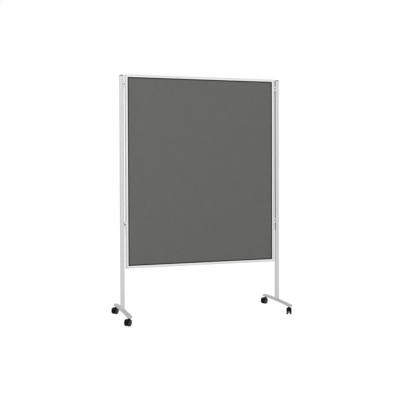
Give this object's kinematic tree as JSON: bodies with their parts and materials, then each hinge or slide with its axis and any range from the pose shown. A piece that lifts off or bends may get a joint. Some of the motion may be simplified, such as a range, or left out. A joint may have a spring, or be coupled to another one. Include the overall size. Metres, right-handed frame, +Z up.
{
  "type": "rolling partition",
  "caption": "Free-standing felt pinboard partition in a slim metal frame, locked between slotted columns on arched feet with swivelling twin-wheel castors.",
  "frame": {"origin": "on the floor midway between the two columns, in the board's middle plane", "axes": "+X along the board to the right seen from the front, +Y from the front to the rear, +Z up"},
  "size_m": [1.3687, 0.5427, 1.893],
  "materials": {
    "anodised_profile": "satin anodised",
    "silver_paint": "satin silver powder coat",
    "cast_housing": "satin die-cast",
    "felt": "plain grey needle felt",
    "board_core": "raw softboard",
    "grey_plastic": "moulded, slightly glossy",
    "black_plastic": "moulded, satin",
    "wheel_plastic": "moulded, satin",
    "black_steel": "blackened steel",
    "bright_steel": "zinc plated"
  },
  "bodies": {
    "stand": {"column_left": "anodised_profile", "column_cap_left": "grey_plastic", "base_plug_left": "black_plastic", "foot_bolt_left": "bright_steel", "foot_bar_left": "silver_paint", "foot_plug_rear_left": "silver_paint", "foot_plug_front_left": "silver_paint", "column_right": "anodised_profile", "column_cap_right": "grey_plastic", "base_plug_right": "black_plastic", "foot_bolt_right": "bright_steel", "foot_bar_right": "silver_paint", "foot_plug_rear_right": "silver_paint", "foot_plug_front_right": "silver_paint", "castor_stem_front_left": "bright_steel", "castor_stem_rear_left": "bright_steel", "castor_stem_front_right": "bright_steel", "castor_stem_rear_right": "bright_steel"},
    "panel": {"frame_stile_right": "anodised_profile", "frame_stile_left": "anodised_profile", "frame_rail_top": "anodised_profile", "frame_rail_bottom": "anodised_profile", "corner_key_top_left": "bright_steel", "corner_key_top_right": "bright_steel", "corner_key_bottom_left": "bright_steel", "corner_key_bottom_right": "bright_steel", "board_core": "board_core", "felt_front": "felt", "felt_rear": "felt", "lock_housing_upper_left": "cast_housing", "lock_slide_upper_left": "bright_steel", "lock_screw_upper_left": "black_steel", "lock_housing_lower_left": "cast_housing", "lock_slide_lower_left": "bright_steel", "lock_screw_lower_left": "black_steel", "lock_housing_upper_right": "cast_housing", "lock_slide_upper_right": "bright_steel", "lock_screw_upper_right": "black_steel", "lock_housing_lower_right": "cast_housing", "lock_slide_lower_right": "bright_steel", "lock_screw_lower_right": "black_steel"},
    "castor_front_left": {"castor_hood_front_left": "black_plastic", "castor_axle_front_left": "bright_steel"},
    "wheel_a_front_left": {"castor_wheel_a_front_left": "wheel_plastic"},
    "wheel_b_front_left": {"castor_wheel_b_front_left": "wheel_plastic"},
    "pedal_front_left": {"brake_pedal_front_left": "black_plastic"},
    "castor_rear_left": {"castor_hood_rear_left": "black_plastic", "castor_axle_rear_left": "bright_steel"},
    "wheel_a_rear_left": {"castor_wheel_a_rear_left": "wheel_plastic"},
    "wheel_b_rear_left": {"castor_wheel_b_rear_left": "wheel_plastic"},
    "castor_front_right": {"castor_hood_front_right": "black_plastic", "castor_axle_front_right": "bright_steel"},
    "wheel_a_front_right": {"castor_wheel_a_front_right": "wheel_plastic"},
    "wheel_b_front_right": {"castor_wheel_b_front_right": "wheel_plastic"},
    "pedal_front_right": {"brake_pedal_front_right": "black_plastic"},
    "castor_rear_right": {"castor_hood_rear_right": "black_plastic", "castor_axle_rear_right": "bright_steel"},
    "wheel_a_rear_right": {"castor_wheel_a_rear_right": "wheel_plastic"},
    "wheel_b_rear_right": {"castor_wheel_b_rear_right": "wheel_plastic"}
  },
  "joints": [
    {"name": "panel_height", "type": "slide", "parent": "stand", "child": "panel", "axis": [0, 0, 1], "range_m": [-0.068, 0.036]},
    {"name": "swivel_front_left", "type": "hinge", "parent": "stand", "child": "castor_front_left", "pos_m": [-0.6515, -0.233, 0.044], "axis": [0, 0, 1], "continuous": true},
    {"name": "spin_a_front_left", "type": "hinge", "parent": "castor_front_left", "child": "wheel_a_front_left", "pos_m": [-0.67371, -0.23449, 0.025], "axis": [0.6691, -0.7431, 0], "continuous": true},
    {"name": "spin_b_front_left", "type": "hinge", "parent": "castor_front_left", "child": "wheel_b_front_left", "pos_m": [-0.6553, -0.25493, 0.025], "axis": [0.6691, -0.7431, 0], "continuous": true},
    {"name": "brake_front_left", "type": "hinge", "parent": "castor_front_left", "child": "pedal_front_left", "pos_m": [-0.67131, -0.25083, 0.04555], "axis": [0.6691, -0.7431, 0], "range_deg": [0, 12]},
    {"name": "swivel_rear_left", "type": "hinge", "parent": "stand", "child": "castor_rear_left", "pos_m": [-0.6515, 0.233, 0.044], "axis": [0, 0, 1], "continuous": true},
    {"name": "spin_a_rear_left", "type": "hinge", "parent": "castor_rear_left", "child": "wheel_a_rear_left", "pos_m": [-0.67373, 0.2319, 0.025], "axis": [0.6561, -0.7547, 0], "continuous": true},
    {"name": "spin_b_rear_left", "type": "hinge", "parent": "castor_rear_left", "child": "wheel_b_rear_left", "pos_m": [-0.65569, 0.21114, 0.025], "axis": [0.6561, -0.7547, 0], "continuous": true},
    {"name": "swivel_front_right", "type": "hinge", "parent": "stand", "child": "castor_front_right", "pos_m": [0.6515, -0.233, 0.044], "axis": [0, 0, 1], "continuous": true},
    {"name": "spin_a_front_right", "type": "hinge", "parent": "castor_front_right", "child": "wheel_a_front_right", "pos_m": [0.63164, -0.24305, 0.025], "axis": [0.9063, -0.4226, 0], "continuous": true},
    {"name": "spin_b_front_right", "type": "hinge", "parent": "castor_front_right", "child": "wheel_b_front_right", "pos_m": [0.65657, -0.25467, 0.025], "axis": [0.9063, -0.4226, 0], "continuous": true},
    {"name": "brake_front_right", "type": "hinge", "parent": "castor_front_right", "child": "pedal_front_right", "pos_m": [0.64024, -0.25716, 0.04555], "axis": [0.9063, -0.4226, 0], "range_deg": [0, 12]},
    {"name": "swivel_rear_right", "type": "hinge", "parent": "stand", "child": "castor_rear_right", "pos_m": [0.6515, 0.233, 0.044], "axis": [0, 0, 1], "continuous": true},
    {"name": "spin_a_rear_right", "type": "hinge", "parent": "castor_rear_right", "child": "wheel_a_rear_right", "pos_m": [0.62983, 0.23807, 0.025], "axis": [0.4226, -0.9063, 0], "continuous": true},
    {"name": "spin_b_rear_right", "type": "hinge", "parent": "castor_rear_right", "child": "wheel_b_rear_right", "pos_m": [0.64145, 0.21314, 0.025], "axis": [0.4226, -0.9063, 0], "continuous": true}
  ]
}
